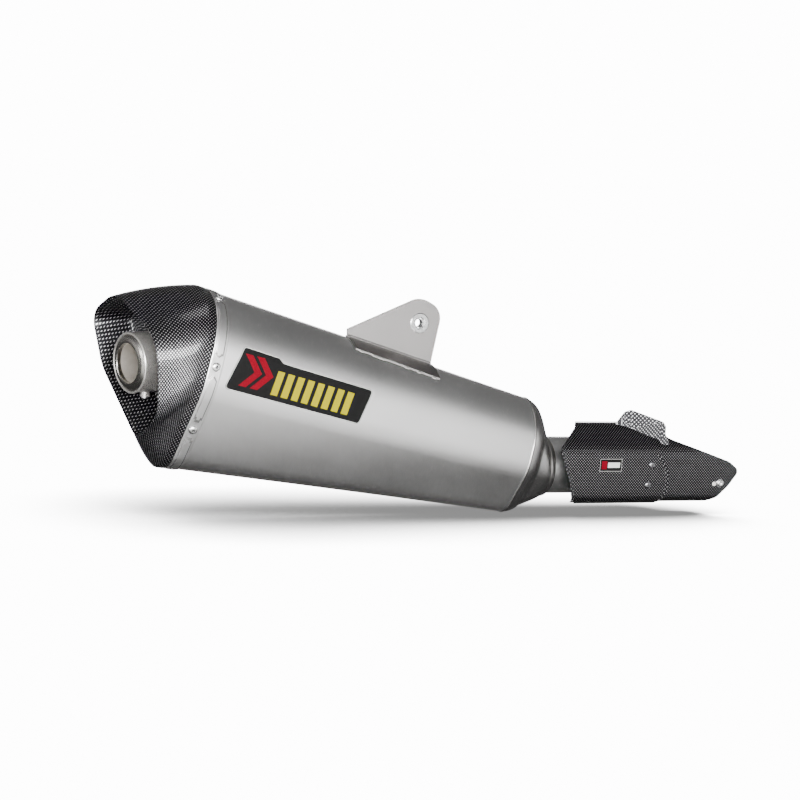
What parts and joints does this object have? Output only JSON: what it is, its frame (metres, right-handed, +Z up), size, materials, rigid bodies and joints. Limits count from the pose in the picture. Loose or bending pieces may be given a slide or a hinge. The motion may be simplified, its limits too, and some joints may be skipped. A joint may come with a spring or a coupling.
{
  "type": "racing exhaust silencer",
  "caption": "Motorcycle slip-on exhaust silencer: tapered metal body, carbon end cap with a removable noise damper, hanger bracket, link pipe with clamp and carbon heat shield.",
  "frame": {"origin": "centre of the link pipe's inlet mouth", "axes": "+X out of the inlet mouth along the link pipe, +Z up, -Y towards the outboard side of the machine"},
  "size_m": [0.7062, 0.1316, 0.2322],
  "materials": {
    "titanium": "brushed titanium, satin",
    "band": "satin titanium",
    "bracket": "satin titanium sheet",
    "stainless": "satin stainless steel",
    "weld": "weld bead",
    "polished": "polished stainless steel",
    "fastener": "zinc plated steel",
    "rivet": "stainless rivet",
    "carbon": "clear coated carbon fibre laminate",
    "packing": "glass and steel wool",
    "label": "printed foil"
  },
  "bodies": {
    "silencer": {"outer_sleeve": "titanium", "front_cap": "titanium", "seam_weld": "weld", "link_pipe": "stainless", "collar_weld": "weld", "end_band": "band", "band_rivets": "rivet", "end_cap_shell": "carbon", "recess_liner": "carbon", "outlet_tube": "polished", "screw_boss": "polished", "rear_bulkhead": "stainless", "front_bulkhead": "stainless", "perforated_core": "stainless", "acoustic_packing": "packing", "hanger_bracket": "bracket", "bracket_bush": "fastener", "bracket_welds": "weld", "shield_rear_panel": "carbon", "shield_nose_panel": "carbon", "shield_standoff_front": "stainless", "shield_standoff_rear": "stainless", "shield_rivets": "rivet", "nose_rivet": "rivet", "nose_screw": "fastener", "nose_washer": "fastener", "nose_flange_nut": "fastener", "label_plate_large": "label", "label_plate_small": "label"},
    "damper": {"damper_flange": "polished", "damper_tube": "stainless", "damper_end_ring": "stainless"},
    "damper_screw": {"damper_screw": "fastener"},
    "clamp": {"pipe_clamp": "stainless", "clamp_nut": "fastener"},
    "clamp_bolt": {"clamp_bolt": "fastener"}
  },
  "joints": [
    {"name": "damper_slide", "type": "slide", "parent": "silencer", "child": "damper", "axis": [-0.9739, -0.2159, -0.0698], "range_m": [0, 0.095]},
    {"name": "screw_travel", "type": "slide", "parent": "silencer", "child": "damper_screw", "axis": [0.0681, 0.0151, -0.9976], "range_m": [0, 0.009]},
    {"name": "clamp_turn", "type": "hinge", "parent": "silencer", "child": "clamp", "pos_m": [-0.014, 0, 0], "axis": [1, 0, 0], "range_deg": [-25, 25]},
    {"name": "bolt_turn", "type": "hinge", "parent": "clamp", "child": "clamp_bolt", "pos_m": [-0.014, 0.041, 0], "axis": [0, 0, 1], "continuous": true}
  ]
}
